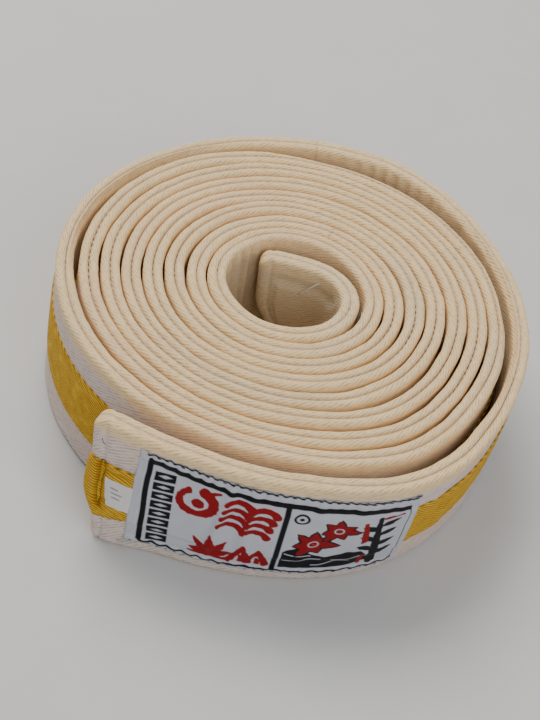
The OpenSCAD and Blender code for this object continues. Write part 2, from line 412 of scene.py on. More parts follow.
def cover(side, a, b, step, fine):
    e, z, on_face, pinch, skin, v = cover_ring(fine)
    s2, e2 = grid(columns(a, b, step), e)
    z2 = z + 0 * s2
    # the groove between the covers opens in dashes, and closes where a stitch pulls them together
    phase = np.cos(2 * np.pi * s2 / EDGE_STITCH)
    gape = smooth(-0.75, 0.2, phase + 0.25 * wave(s2, 9, 20)) * smooth(10, 30, end_distance(s2))
    e2 = e2 + pinch * 0.04 * gape * smooth(-0.1, 0.7, wave(s2, 60, 30))
    soft = np.where(skin & (z > FACE_TOP), np.clip((FOLD_MID - e) / FOLD_TOP, 0, 1), 0)
    z2 = BELT_W - (BELT_W - z2) * (1 - soft * (1 - groove(s2) / GROOVE_FLOOR))
    z2 = z2 - pinch * 0.12 * gape * np.sign(z2 - MID_Z)
    # ridges vary a little in width and height
    top = (z2 > 41.5) & skin
    wide = 0.10 * wave(s2, 6.0, 21 + side) + 0.05 * wave(s2, 2.3, 23 + side)
    e2 = e2 + np.where(top & (e2 > 1.4), wide, 0)
    high = 0.13 * wave(s2, 9.0, 25 + side) + 0.06 * wave(s2, 3.1, 27 + side)
    z2 = z2 + np.where(top, high, 0) * smooth(0.2, 1.0, e2)
    back, down = pulled_back(side, s2)
    drawn = back * smooth(0.6, 2.4, e2)
    z2 = z2 - np.where(top, down * drawn, 0)
    e2 = e2 - np.where(skin, 1.25 * drawn * smooth(26, 41, z2), 0)
    e2 = np.where(skin, e2 + relief(side, s2, z2) * on_face, e2)
    # the outside always stays clear of the cover's inside and of the ply
    least = np.where(skin & (e > 1.9) & (z < 43.2), 1.96, 0.02)
    e2 = np.maximum(e2, least) * end_thickness(s2)
    z2 = MID_Z + (z2 - MID_Z) * end_height(s2)
    # values of the mask above 1 mark the crease between the two folds, which the cover's material
    # darkens as painted shade
    crease_shade = np.where(skin & (z > 40), np.clip((1.0 - e) / 0.8, 0, 1), 0)
    return swept(s2, side * e2, z2, v + 0 * s2, smooth(*EDGE_FADE, z2) * (1 + crease_shade))


def plies(side, a, b):
    e = np.array([0.03, 1.42, 1.50, 1.50, 1.42, 0.03])
    z = np.array([41.35, 41.35, 41.0, 3.0, 2.65, 2.65])
    s2, e2 = grid(columns(a, b, 2.0), e)
    z2 = z + 0 * s2
    t = end_distance(s2)
    e2 = e2 * np.clip(end_thickness(s2) * smooth(-1.5, 2.5, t), 0.1, 1)
    z2 = MID_Z + (z2 - MID_Z) * (end_height(s2) - 0.03 * fall(0, 6, t))
    s2 = np.clip(s2, 0.5, STRAP_LEN - 0.5)
    v = np.concatenate([[0], np.cumsum(np.hypot(np.diff(e), np.diff(z)))])
    return swept(s2, side * e2, z2, v + 0 * s2)


# ---- the stripe
TURN_OVER = 2.2  # length at each end over which the stripe is turned round the fold


def stripe_face(s, z):
    """Distance of the stripe's face from the middle plane."""
    inner = np.abs(z - MID_Z)
    puff = 0.10 * (1 - (inner / STRIPE_HALF) ** 2) - 0.22 * smooth(9.6, STRIPE_HALF, inner)
    puff = puff - 0.20 * hump(inner, 9.3, 0.45)
    t = end_distance(s)
    bars = hump(t, 8.5, 4.5) * (0.35 * hump(inner, 8.0, 1.7) - 0.25 * hump(inner, 5.4, 0.9))
    dip = -0.95 * hump(t, 4.3, 0.8) * fall(8.2, 9.8, inner)
    ridge = 0.30 * hump(t, 2.2, 1.3)
    knots = 0.16 * wave2(s, z, 1.6, 2.1, 31) * fall(10, 16, t)
    return STRIPE_OUT + 0.04 + puff + bars + dip + ridge + knots


def stripe_top(s, z):
    """The stripe's face, which follows most of the relief of the cover under it."""
    return stripe_face(s, z) + relief(1, s, z) * 0.9


def sunk(s, z):
    """Near the tip the stripe lies a little lower on the strap."""
    t, high = STRAP_LEN - s, smooth(14, 31, z)
    return z - 2.3 * fall(10, 60, t) * high - 2.8 * fall(0, 18, t) * (1 - high)


def stripe(a, b, step, fine):
    face_z = np.linspace(STRIPE_HIGH, STRIPE_LOW, 43 if fine else 7)
    back_z = np.array([STRIPE_LOW + 0.2, 17.0, 22.5, 28.0, STRIPE_HIGH - 0.2])
    s = columns(a, b, step)
    s2, z2 = grid(s, face_z)
    z2 = sunk(s2, z2)
    up = z2 - STRIPE_LOW
    z2 = z2 + 0.12 * wave(s2, 8, 32) * smooth(16, 21, up) + 0.12 * wave(s2, 8, 33) * fall(0, 5, up)
    e2 = stripe_top(s2, z2)
    bs, bz = grid(s, back_z)
    bz = sunk(bs, bz)
    be = np.full_like(bs, HALF_T - 0.12)
    s2, e2, z2 = (np.concatenate(pair, 1) for pair in ((s2, bs), (e2, be), (z2, bz)))
    front = np.concatenate([np.ones(len(face_z)), np.zeros(len(back_z))])[None, :]
    t_end = end_distance(s2)
    # at the ends of the strap the stripe is turned over the fold, with rounded corners
    for end, way in ((STRAP_LEN, 1.0), (0.0, -1.0)):
        t = np.abs(end - s2)
        over = t < TURN_OVER
        angle = (1 - t / TURN_OVER) * np.pi / 2
        corner = 1 - 0.5 * np.clip(np.abs(z2 - 20.5) / STRIPE_HALF, 0, 1) ** 5
        reach = np.where(front > 0, 3.5, 2.9) * corner
        e2 = np.where(over, 0.15 + (e2 - 0.15) * np.cos(angle * 0.97), e2)
        s2 = np.where(over, end - way * (TURN_OVER - reach * np.sin(angle)), s2)
    # at the inner end the stripe's top stops a little short of the fold
    s2 = s2 + 2.8 * smooth(13, 22, z2) * fall(0, 9, s2)
    # the mask paints shade into the end seam's groove and along the folded layers' edges, and over
    # the flap's end, which lies in shade inside the eye
    beside = np.abs(z2 - MID_Z)
    dark = hump(t_end, 4.3, 1.25) * fall(8.6, 9.8, beside)
    dark = dark + 0.6 * hump(beside, 5.9, 0.6) * hump(t_end, 8.5, 4.0)
    dark = np.clip(np.maximum(dark * front, 0.8 * fall(3, 9, s2)), 0, 1)
    return swept(s2, e2, z2, z2.copy(), dark)


# ---- stitches and threads
def stitches(starts, length, d, z, up, radius, rings=5, sides=6, rise=0.25):
    """Separate short stitches. d and z are functions of s. Each stitch stands proud along z
    where up is "z", and otherwise along d, outwards where up is 1."""
    starts = np.asarray(starts, float)
    tau = np.linspace(0, 1, rings)
    high = np.sin(np.pi * tau) * rise - 0.15
    size = radius * np.sqrt(np.clip(1 - (2 * tau - 1) ** 4, 0.12, 1))
    a = np.linspace(0, 2 * np.pi, sides, endpoint=False)
    s3 = np.repeat((starts[:, None] + tau * length)[:, :, None], sides, 2)
    proud = (high[:, None] + size[:, None] * np.sin(a))[None]
    wide = (size[:, None] * np.cos(a))[None]
    if up == "z":
        d3, z3 = d(s3) + wide, z(s3) + proud
    else:
        d3, z3 = d(s3) + up * proud, z(s3) + wide
    verts = place(s3, d3 + 0 * s3, z3 + 0 * s3).reshape(-1, 3)
    per = rings * sides
    index = np.arange(per).reshape(rings, sides)
    one = ring_quads(index)
    first = np.arange(len(starts)) * per
    quads = (one[None] + first[:, None, None]).reshape(-1, 4)
    caps = [cap for at in first for cap in (list(index[0][::-1] + at), list(index[-1] + at))]
    if volume_sign(verts[one] - verts[:per].mean(axis=0)) < 0:
        quads, caps = quads[:, ::-1], [c[::-1] for c in caps]
    weave = np.stack([s3, wide + 0 * s3, proud + 0 * s3], -1).reshape(-1, 3)
    return verts, quads, caps, weave


def tube(points, radius, sides=6):
    """A thread along points given as x, y and z in metres. The radius is in millimetres."""
    points = np.asarray(points, float)
    along = np.gradient(points, axis=0)
    along /= np.linalg.norm(along, axis=1)[:, None]
    x = np.cross(along, np.array([0.31, 0.22, 0.93]))
    x /= np.linalg.norm(x, axis=1)[:, None]
    y = np.cross(along, x)
    a = np.linspace(0, 2 * np.pi, sides, endpoint=False)
    taper = np.sqrt(np.clip(1 - np.linspace(-1, 1, len(points)) ** 6, 0.15, 1))
    round_ = x[:, None] * np.cos(a)[:, None] + y[:, None] * np.sin(a)[:, None]
    verts = points[:, None] + radius * MM * taper[:, None, None] * round_
    index = np.arange(len(points) * sides).reshape(len(points), sides)
    p, q = index[:-1], index[1:]
    quads = np.stack([p, q, np.roll(q, -1, 1), np.roll(p, -1, 1)], -1).reshape(-1, 4)
    steps = np.linalg.norm(np.diff(points, axis=0), axis=1)
    run = np.cumsum(np.concatenate([[0], steps])) / MM
    weave = [np.repeat(run, sides), np.tile(a, len(points)), np.zeros(index.size)]
    return verts.reshape(-1, 3), quads, [list(index[0]), list(index[-1][::-1])], np.stack(weave, -1)


# ---- materials
class Value:
    """A node's output, which adds, subtracts and multiplies like a number."""

    def __init__(self, graph, socket):
        self.graph, self.socket = graph, socket


for word, op in (("add", "ADD"), ("sub", "SUBTRACT"), ("mul", "MULTIPLY")):
    setattr(Value, f"__{word}__", lambda a, b, op=op: a.graph.math(op, a, b))
    setattr(Value, f"__r{word}__", lambda a, b, op=op: a.graph.math(op, b, a))


class Graph:
    """A material's nodes."""

    def __init__(self, name):
        self.material = bpy.data.materials.new(name)
        self.material.use_nodes = True
        self.tree = self.material.node_tree
        self.tree.nodes.clear()
        self.bsdf = self.tree.nodes.new("ShaderNodeBsdfPrincipled")
        self.node("OutputMaterial", {"Surface": Value(self, self.bsdf.outputs[0])}, None)

    def put(self, socket, value):
        if isinstance(value, Value):
            self.tree.links.new(value.socket, socket)
        elif value is not None:
            socket.default_value = value

    def node(self, kind, inputs, output=0, **settings):
        n = self.tree.nodes.new("ShaderNode" + kind)
        for name, value in settings.items():
            setattr(n, name, value)
        for key, value in inputs.items():
            self.put(n.inputs[key], value)
        return None if output is None else Value(self, n.outputs[output])

    def math(self, op, a, b=None, clamp=False):
        return self.node("Math", {0: a, 1: b}, operation=op, use_clamp=clamp)

    def mix(self, factor, a, b, blend="MIX"):
        a, b = (c if isinstance(c, Value) else (*c, 1) for c in (a, b))
        return self.node("Mix", {"Factor": factor, "A": a, "B": b}, "Result",
                         data_type="RGBA", blend_type=blend)

    def attribute(self, name, output):
        return self.node("Attribute", {}, output, attribute_type="GEOMETRY", attribute_name=name)

    def weave(self):
        """Lengths along and round the strap in millimetres, and the mask."""
        first = self.node("SeparateXYZ", {0: self.attribute("weave", "Vector")})
        return [Value(self, out) for out in first.socket.node.outputs]

    def join(self, x, y, z=0.0):
        return self.node("CombineXYZ", {0: x, 1: y, 2: z})

    def noise(self, vector, scale, detail=2.0, rough=0.5):
        return self.node("TexNoise", {"Vector": vector, "Scale": scale, "Detail": detail,
                                      "Roughness": rough}, "Fac")

    def blots(self, s, v, along, round_, detail=2.0):
        """Noise with its own scale along and round the strap."""
        return self.noise(self.join(s * along, v * round_), 1.0, detail)

    def ramp(self, value, a, b):
        return self.node("MapRange", {"Value": value, "From Min": a, "From Max": b}, "Result",
                         clamp=True, interpolation_type="SMOOTHSTEP")

    def lines(self, phase, sharp=1.0):
        """From 0 in the valley to 1 on the ridge, once for each whole number of phase."""
        c = self.math("COSINE", phase * (2 * math.pi))
        return self.math("POWER", c * 0.5 + 0.5, sharp)

    def bump(self, height, distance, strength):
        inputs = {"Strength": strength, "Distance": distance * MM, "Height": height}
        self.put(self.bsdf.inputs["Normal"], self.node("Bump", inputs))

    def finish(self, colour, rough, sheen=0.25, tint=(1, 1, 1), specular=0.25):
        for name, value in (("Base Color", colour), ("Roughness", rough),
                            ("Specular IOR Level", specular), ("Sheen Weight", sheen),
                            ("Sheen Roughness", 0.5), ("Sheen Tint", (*tint, 1))):
            self.put(self.bsdf.inputs[name], value)
        return self.material


def cotton(name, face_colour, edge_colour, way, face_depth):
    """Diagonal twill: broad ribs with narrow valleys, at a shallow angle to the strap."""
    g = Graph(name)
    s, v, mask = g.weave()
    edge = g.math("MINIMUM", mask, 1.0)
    crease_shade = g.math("SUBTRACT", mask, 1.0, clamp=True)
    drift = g.blots(s, v, 0.13, 0.30, 1.0)
    phase = s * (1 / 2.2) + v * (way / 1.12)
    height = g.lines(phase + (drift - 0.5) * 0.9, 0.38)
    place_ = g.join(s, v, 0.0)
    broad = g.blots(s, v, 0.011, 0.02)
    blotch = g.blots(s, v, 0.10, 0.16, 3.0)
    broken = g.blots(s, v, 0.42, 0.8)
    fuzz = g.noise(place_, 2.6, 3.0, 0.65)
    yarn = g.lines(s * 2.1 + v * (-1.3 * way))
    # the face's colour and the edge's, with broad warm and grey patches
    colour = g.mix(edge, face_colour, edge_colour)
    colour = g.mix(g.ramp(broad, 0.52, 0.68) * 0.22, colour, (0.90, 0.57, 0.38))
    colour = g.mix(g.ramp(broad, 0.47, 0.34) * 0.26, colour, (0.66, 0.58, 0.42))
    # valleys are darker and warmer
    valley = (1.0 - height) * (g.ramp(broken, 0.38, 0.62) * 0.70 + 0.30)
    depth = face_depth + edge * (0.34 - face_depth)
    shade = 1.0 - valley * depth
    shade = shade * (blotch * 0.16 + 0.92)
    shade = shade * (fuzz * 0.16 + 0.92)
    warm = g.math("POWER", shade, 1.22)
    colour = g.mix(1.0, colour, g.join(shade, (shade + warm) * 0.5, warm), "MULTIPLY")
    # painted shade in the crease between the two folds
    colour = g.mix(crease_shade * 0.45, colour, (0.60, 0.47, 0.33))
    specks = g.ramp(g.noise(place_, 0.9, 4.0, 0.75), 0.70, 0.77)
    colour = g.mix(specks * 0.55, colour, (0.30, 0.24, 0.17))
    g.bump((1.0 - valley) + (yarn * 0.10 + fuzz * 0.30), 0.22, 0.8)
    return g.finish(colour, blotch * 0.08 + 0.84, 0.08, (1.0, 0.92, 0.80), 0.12)


def tape(name):
    """The yellow stripe: a thick diagonal weave, paler where worn and orange in the valleys."""
    g = Graph(name)
    s, v, dark = g.weave()
    drift = (g.blots(s, v, 0.2, 0.2) - 0.5) * 0.3
    rows = g.lines(s * 0.30 + v * -0.98 + drift, 0.9)
    yarn = g.lines(s * 1.05 + v * 0.9)
    blotch = g.blots(s, v, 0.25, 0.3, 3.0)
    fuzz = g.noise(g.join(s, v, 0.0), 2.2, 3.0, 0.6)
    colour = g.mix(rows, (0.28, 0.12, 0.008), (0.92, 0.55, 0.040))
    colour = g.mix(g.ramp(blotch, 0.52, 0.72) * 0.5, colour, (0.92, 0.60, 0.05))
    colour = g.mix(g.ramp(blotch, 0.46, 0.30) * 0.5, colour, (0.46, 0.20, 0.004))
    colour = g.mix(fuzz * 0.22, colour, (0.66, 0.38, 0.02))
    # painted shade where the mask is set: the end seam's groove, the folded layers' edges and the
    # flap's end
    colour = g.mix(dark * 0.85, colour, (0.24, 0.09, 0.004))
    g.bump(rows + yarn * 0.35 + fuzz * 0.5, 0.30, 0.9)
    return g.finish(colour, fuzz * 0.15 + 0.72, 0.04, (1.0, 0.8, 0.3), 0.10)


def thread(name, light, dark):
    """Twisted sewing thread."""
    g = Graph(name)
    s, v, w = g.weave()
    twist = g.lines(s * 2.2 + v * 1.6, 0.8)
    fuzz = g.noise(g.join(s, v, w), 3.0)
    colour = g.mix(twist, dark, light)
    colour = g.mix(fuzz * 0.3, colour, tuple(0.8 * c for c in light))
    g.bump(twist, 0.08, 0.7)
    return g.finish(colour, 0.6, 0.2, light, 0.35)


def satin(name):
    """Smooth satin with a fine cross weave, coloured by the pattern painted on the mesh."""
    g = Graph(name)
    s, v, _ = g.weave()
    weft = g.lines(v * 3.2)
    warp = g.lines(s * 2.6 + v * 0.4)
    soft = g.blots(s, v, 0.22, 0.10)
    fine = g.noise(g.join(s, v, 0.0), 3.0)
    shade = (weft * 0.07 + warp * 0.05 + 0.86) * (soft * 0.16 + 0.92)
    colour = g.mix(1.0, g.attribute("paint", "Color"), g.join(shade, shade, shade), "MULTIPLY")
    g.bump(weft + warp * 0.8 + fine * 0.6, 0.07, 0.8)
    return g.finish(colour, fine * 0.18 + 0.42, 0.0, (1, 1, 1), 0.16)


def canvas(name):
    """Plain weave."""
    g = Graph(name)
    s, v, _ = g.weave()
    a, b = g.lines(s * 0.9, 0.8), g.lines(v * 0.9, 0.8)
    fuzz = g.noise(g.join(s, v, 0.0), 1.8, 3.0)
    colour = g.mix(a * b, (0.42, 0.36, 0.27), (0.66, 0.58, 0.45))
    colour = g.mix(fuzz * 0.3, colour, (0.52, 0.44, 0.32))
    g.bump(g.math("MAXIMUM", a, b) + fuzz * 0.4, 0.2, 0.8)
    return g.finish(colour, 0.9, 0.15, (1, 0.95, 0.85), 0.2)


CREAM = (0.92, 0.675, 0.372)
COTTON = cotton("cotton_twill", (0.71, 0.59, 0.54), CREAM, -1, 0.42)
INNER_COTTON = cotton("cotton_twill_inside", (0.62, 0.48, 0.305), CREAM, 1, 0.10)
TAPE = tape("stripe_tape")
TAPE_THREAD = thread("stripe_thread", (0.80, 0.50, 0.06), (0.45, 0.24, 0.02))
EDGE_THREAD = thread("edge_thread", (0.80, 0.70, 0.54), (0.46, 0.38, 0.27))
LOOSE_THREAD = thread("loose_thread", (0.86, 0.83, 0.76), (0.60, 0.55, 0.47))
DARK_THREAD = thread("label_thread", (0.030, 0.028, 0.034), (0.008, 0.008, 0.010))
SATIN = satin("label_satin")
TAG_SATIN = satin("tag_tape")
CANVAS = canvas("canvas")


# ---- pieces, and the bodies listed for each segment
def zone(cut, half=7.0):
    """The two ends of the length that bends at a joint."""
    return [(*(point(s, 0.0) * MM), MID_Z * MM) for s in (cut - half, cut + half)]


# where each segment's pieces end: in the middle of a link, where nothing bends
FLAP_TO = 45.0
ROLL_TO = THIRD_CUT - 30.0
THIRD_TO = (THIRD_CUT + SECOND_CUT) / 2
SECOND_TO = (SECOND_CUT + TAIL_CUT) / 2
# between these two the coil hides the strap's faces, which are coarser there
HIDDEN_FROM, HIDDEN_TO = 330.0, 1936.0
FOLLOWS = {
    "flap": ("flap", "roll", zone(FLAP_CUT)),
    "roll": ("roll",),
    "third": ("roll", "third", zone(THIRD_CUT)),
    "second": ("third", "second", zone(SECOND_CUT)),
    "tail": ("second", "tail", zone(TAIL_CUT)),
}
# each run's two ends, its step and whether its ring is fine
RUNS = {
    "flap": [(0.0, FLAP_TO, 0.5, True)],
    "roll": [(FLAP_TO, HIDDEN_FROM, 0.75, True), (HIDDEN_FROM, HIDDEN_TO, 0.75, False),
             (HIDDEN_TO, ROLL_TO, 0.6, True)],
    "third": [(ROLL_TO, THIRD_TO, 0.5, True)],
    "second": [(THIRD_TO, SECOND_TO, 0.5, True)],
    "tail": [(SECOND_TO, STRAP_LEN, 0.4, True)],
}


def add(name, arrays, material, segment, node=None, colours=None):
    """Makes the piece and gives it its material. A piece of the roll follows the roll's body; the
    other pieces keep their place, baked into the mesh.
    """
    o = new_object(name, *arrays, colours=colours)
    o.data.materials.append(material)
    how = FOLLOWS[segment]
    if len(how) == 1:
        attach(o, how[0])
    else:
        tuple(how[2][0])
        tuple(how[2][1])
        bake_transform(o)
    if node:
        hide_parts(node)
    return o


def stitch_starts(a, b, pitch, length, offset):
    """Where stitches start whose middles lie between a and b, clear of the strap's ends."""
    first = math.ceil((a - offset) / pitch) * pitch + offset
    starts = np.arange(first, b, pitch)
    middle = starts + length / 2
    return starts[(middle >= a) & (middle < b) & (end_distance(middle) > 5.5)]


ROW_STITCH, ROW_LENGTH = 2.6, 1.9  # the two rows along the stripe
EDGE_LENGTH = 1.5
EDGE_HEIGHTS = (("top", lambda s: 44.75 - groove(s)), ("bottom", lambda s: 2.25 + 0 * s))


def stripe_row(starts, z0):
    return stitches(starts, ROW_LENGTH, lambda s: stripe_top(s, sunk(s, z0)) - 0.04,
                    lambda s: sunk(s, z0), 1, 0.17, rings=4, sides=5, rise=0.12)


for segment, runs in RUNS.items():
    low, high = runs[0][0], runs[-1][1]
    for side, word, material in ((1, "outer", COTTON), (-1, "inner", INNER_COTTON)):
        name, ply = f"{segment}_{word}_cover", f"{segment}_{word}_ply"
        arrays = joined([cover(side, *run) for run in runs])
        o = add(name, arrays, material, segment, name)
        add(ply, plies(side, low, high), CANVAS, segment, ply)
    name = f"{segment}_stripe"
    add(name, joined([stripe(*run) for run in runs]), TAPE, segment, name)
    # the dashed stitches in the grooves of the two edges
    starts = stitch_starts(low, high, EDGE_STITCH, EDGE_LENGTH, 0.75)
    for word, height in EDGE_HEIGHTS:
        name = f"{segment}_{word}_seam"
        arrays = stitches(starts, EDGE_LENGTH, lambda s: 0.0 * s, height, "z", 0.22, rise=0.2)
        add(name, arrays, EDGE_THREAD, segment, name)
    # the rows of stitches along the stripe
    starts = stitch_starts(low, high, ROW_STITCH, ROW_LENGTH, 0.3)
    rows = [stripe_row(starts, z0) for z0 in (STRIPE_LOW + 1.2, STRIPE_HIGH - 1.2)]
    name = f"{segment}_stripe_seams"
    add(name, joined(rows), TAPE_THREAD, segment, name)


# ---- the sewn label and its generic pattern
# u runs along the label from its outer end and w down from its top, in millimetres
LABEL_DEEP, LABEL_LOW = 37.4, 3.7


def label_top(u):
    return 41.5 - 1.4 * smooth(25, 80, u)


def label_z(u, w):
    return label_top(u) - w * (label_top(u) - LABEL_LOW) / LABEL_DEEP


def slant(u, w):
    """The label's inner end isn't square to the strap: its bottom reaches further."""
    return 3.6 * smooth(46, 80, u) * (w / LABEL_DEEP - 0.25)


FAR = 9.0  # the distance given outside a shape's reach
BOW_PARTS = 14


def inside(distance, softness=0.12):
    """1 inside a shape and 0 outside it, from its signed distance in millimetres."""
    return np.clip(0.5 - distance / (2 * softness), 0, 1)


def bar(u, w, u0, w0, u1, w1, r0, r1=None):
    """Distance to a straight brush stroke whose half width runs from r0 to r1."""
    r1 = r0 if r1 is None else r1
    du, dw = u1 - u0, w1 - w0
    t = np.clip(((u - u0) * du + (w - w0) * dw) / (du * du + dw * dw + 1e-9), 0, 1)
    return np.hypot(u - u0 - t * du, w - w0 - t * dw) - (r0 + (r1 - r0) * t)


def bow(u, w, cu, cw, radius, a0, a1, r0, r1, squash):
    """Distance to a curved brush stroke round a centre, between two angles."""
    a = np.radians(np.linspace(a0, a1, BOW_PARTS + 1))
    x, y = cu + radius * np.cos(a), cw + squash * radius * np.sin(a)
    size = np.linspace(r0, r1, BOW_PARTS + 1)
    parts = [bar(u, w, x[k], y[k], x[k + 1], y[k + 1], size[k], size[k + 1])
             for k in range(BOW_PARTS)]
    return np.minimum.reduce(parts)


def leaf(u, w, u0, w0, u1, w1, fat):
    """Distance to a pointed leaf between two points."""
    du, dw = u1 - u0, w1 - w0
    n = math.hypot(du, dw)
    t = ((u - u0) * du + (w - w0) * dw) / (n * n)
    across = np.abs((u - u0) * dw - (w - w0) * du) / n
    half = fat * np.sin(np.pi * np.clip(t, 0, 1) ** 0.8)
    return np.where((t > 0) & (t < 1), across - half, FAR)


def star(u, w, cu, cw, angles, reaches, fats, tall):
    """Distance to leaves that spread from one place."""
    leaves = [leaf(u, w, cu, cw, cu + r * math.cos(a), cw + tall * r * math.sin(a), fat)
              for a, r, fat in zip(np.radians(angles), reaches, fats)]
    return np.minimum.reduce(leaves)


def frame_line(u):
    """How far below the label's top its thick border line runs."""
    return np.interp(u, [0, 3, 25, 43, 63, 80], [2.6, 2.7, 3.7, 4.5, 4.7, 5.4])


def band(distance, half):
    """Distance to a line of the given half width."""
    return np.abs(distance) - half


WHITE = np.array([0.60, 0.60, 0.655])
BLACK = np.array([0.004, 0.004, 0.006])
RED = np.array([0.30, 0.003, 0.006])
DIVIDER = 43.4  # between the two panels


def frame_marks(u, w):
    """The frame's lines and a plain chain of blocks, as shape and colour."""
    top = frame_line(u) + 0.08 * np.sin(2 * np.pi * u / 3.9 + 0.6) + 0.12 * wave(u, 3.0, 41)
    low = 35.6 + 0.34 * np.sin(2 * np.pi * u / 4.6) + 0.25 * wave(u, 5.0, 42)
    left = 3.4 + 0.9 * w / LABEL_DEEP + 0.10 * np.sin(w / 3)
    end = 77.6 + 0.12 * wave(w, 3.0, 46)
    within = np.maximum(left - 0.6 - u, u - end)
    between = np.maximum(top - w, w - low)
    sewn = w - 0.42 - 0.10 * np.sin(2 * np.pi * u / 2.4)
    yield np.maximum(band(sewn, 0.24), 2.2 - u), BLACK
    yield np.maximum(band(w - top, 1.12), within), BLACK
    yield np.maximum(band(u - left, 0.84), between), BLACK
    yield np.maximum(band(w - low, 0.42 + 0.10 * wave(u, 6, 43)), within), BLACK
    yield np.maximum(band(u - DIVIDER, 0.82), between), BLACK
    yield np.maximum(band(u - end, 0.16), between), BLACK
    x = u - (8.3 + 0.9 * w / LABEL_DEEP)
    for k in range(8):
        y = w - (6.9 + k * 3.7) + 0.16 * x
        hole = np.abs(x) / 2.1 + np.abs(y) / 0.62 - 1
        yield np.maximum(np.maximum(band(x, 3.1), band(y, 1.5)), -0.8 * hole), BLACK


def brush_marks(u, w, brush):
    """Four red marks: a ring with a dot, waves, a spray of leaves and peaks."""
    ring = bow(u, w, 18.4, 11.9, 5.0, -70, 235, 1.75, 1.05, 0.92)
    dot = np.minimum(np.hypot(u - 18.8, w - 12.2) - 1.9, bar(u, w, 21.6, 7.4, 24.4, 6.2, 0.9, 0.5))
    yield np.minimum(ring, dot) + brush, RED
    waves = []
    for k in range(4):
        cw = 9.6 + 3.3 * k
        waves.append(bow(u, w, 30.4 - 0.5 * k, cw, 3.7, 195, 345, 0.7, 1.35, 0.72))
        waves.append(bow(u, w, 37.4 - 0.5 * k, cw + 0.9, 3.5, 190, 350, 0.8, 1.25, 0.72))
    yield np.minimum.reduce(waves) + brush, RED
    spray = star(u, w, 24.8, 33.2, (-95, -58, -24, -132, -168), (8.4, 8.2, 7.4, 8.0, 6.6),
                 (1.6, 1.5, 1.5, 1.5, 1.4), 1.2)
    yield np.minimum(spray, bar(u, w, 18.8, 33.4, 30.4, 33.8, 0.5, 0.8)) + brush, RED
    peaks = []
    for cu, cw, tall, half in ((33.6, 25.4, 7.4, 2.6), (38.4, 27.0, 6.0, 2.9)):
        peaks.append(bar(u, w, cu - half, cw + tall, cu, cw, 1.2, 0.7))
        peaks.append(bar(u, w, cu, cw, cu + half * 0.9, cw + tall, 0.7, 1.35))
        peaks.append(bar(u, w, cu, cw + 4.2, cu + 0.4, cw + tall, 0.7, 0.9))
    yield np.minimum.reduce(peaks) + brush, RED


def panel_marks(u, w, brush):
    """The inner panel: dark hills with pale streaks, two red bursts, a dark reed and a ring."""
    hill = 30.0 - 6.4 * hump(u, 48.5, 5.0) - 1.8 * hump(u, 56, 5) - 4.6 * hump(u, 64.0, 5.5)
    hill = hill + 0.7 * wave(u, 1.9, 45)
    foot = w - 34.2 + 2.2 * smooth(60, 70, u)
    yield np.maximum.reduce([hill - w, 44.9 - u, u - 70.5, foot]), BLACK
    for a, b, c, rise in ((45.5, 53.0, 26.4, 0.1), (45.5, 56.0, 30.2, -0.2),
                          (54.0, 64.0, 32.4, -0.25), (59.0, 69.0, 29.4, -0.1)):
        streak = band(w - c - rise * (u - a) - 0.5 * np.sin((u - a) / 1.4), 0.20)
        yield np.maximum.reduce([streak, a - u, u - b]), WHITE
    k = np.arange(7)
    angles = -90 + k * 360 / 7 + 9 * np.sin(2.1 * k)
    for cu, cw, size in ((52.6, 20.6, 1.15), (58.6, 13.8, 1.0)):
        reach = size * (5.2 + 1.1 * np.sin(3.7 * k))
        rim = star(u, w, cu, cw, angles, 1.12 * reach, [1.75 * size] * 7, 1.17 / 1.12)
        yield rim + brush, BLACK
        yield star(u, w, cu, cw, angles, reach, [1.30 * size] * 7, 1.05) + brush, RED
        yield band(np.hypot(u - cu, w - cw) - 1.2 * size, 0.20), WHITE
    reed = [bar(u, w, 70.4, 33.0, 69.4, 8.4, 1.5, 0.8)]
    for cw, way in zip((11.5, 14.0, 16.6, 19.4, 22.4, 24.6, 27.4), (1, -1, 1, -1, 1, -1, 1)):
        reed.append(leaf(u, w, 69.9, cw + 1.2, 69.9 + way * 5.4, cw - 2.4, 1.2))
    end = 77.6 + 0.12 * wave(w, 3.0, 46)
    yield np.maximum(np.minimum.reduce(reed), u - end + 0.6) + brush, BLACK
    tips = bar(u, w, 66.6, 20.0, 65.6, 10.4, 1.15, 0.7), bar(u, w, 70.6, 8.6, 75.6, 7.4, 0.65, 0.35)
    yield np.minimum(*tips) + brush, RED
    yield bar(u, w, 67.4, 28.6, 67.0, 33.0, 0.8, 0.6), RED
    away_from = np.hypot(u - 47.6, w - 9.4)
    yield band(away_from - 1.9, 0.36), BLACK
    yield away_from - 0.7, BLACK


def label_pattern(u, w):
    """The label's colours, each mark laid over the ones before."""
    rgb = np.ones(u.shape + (3,)) * WHITE
    brush = 0.22 * wave2(u, w, 1.1, 1.1, 44)
    for marks in (frame_marks(u, w), brush_marks(u, w, brush), panel_marks(u, w, brush)):
        for shape, colour in marks:
            share = inside(shape)[..., None]
            rgb = rgb * (1 - share) + colour * share
    return rgb


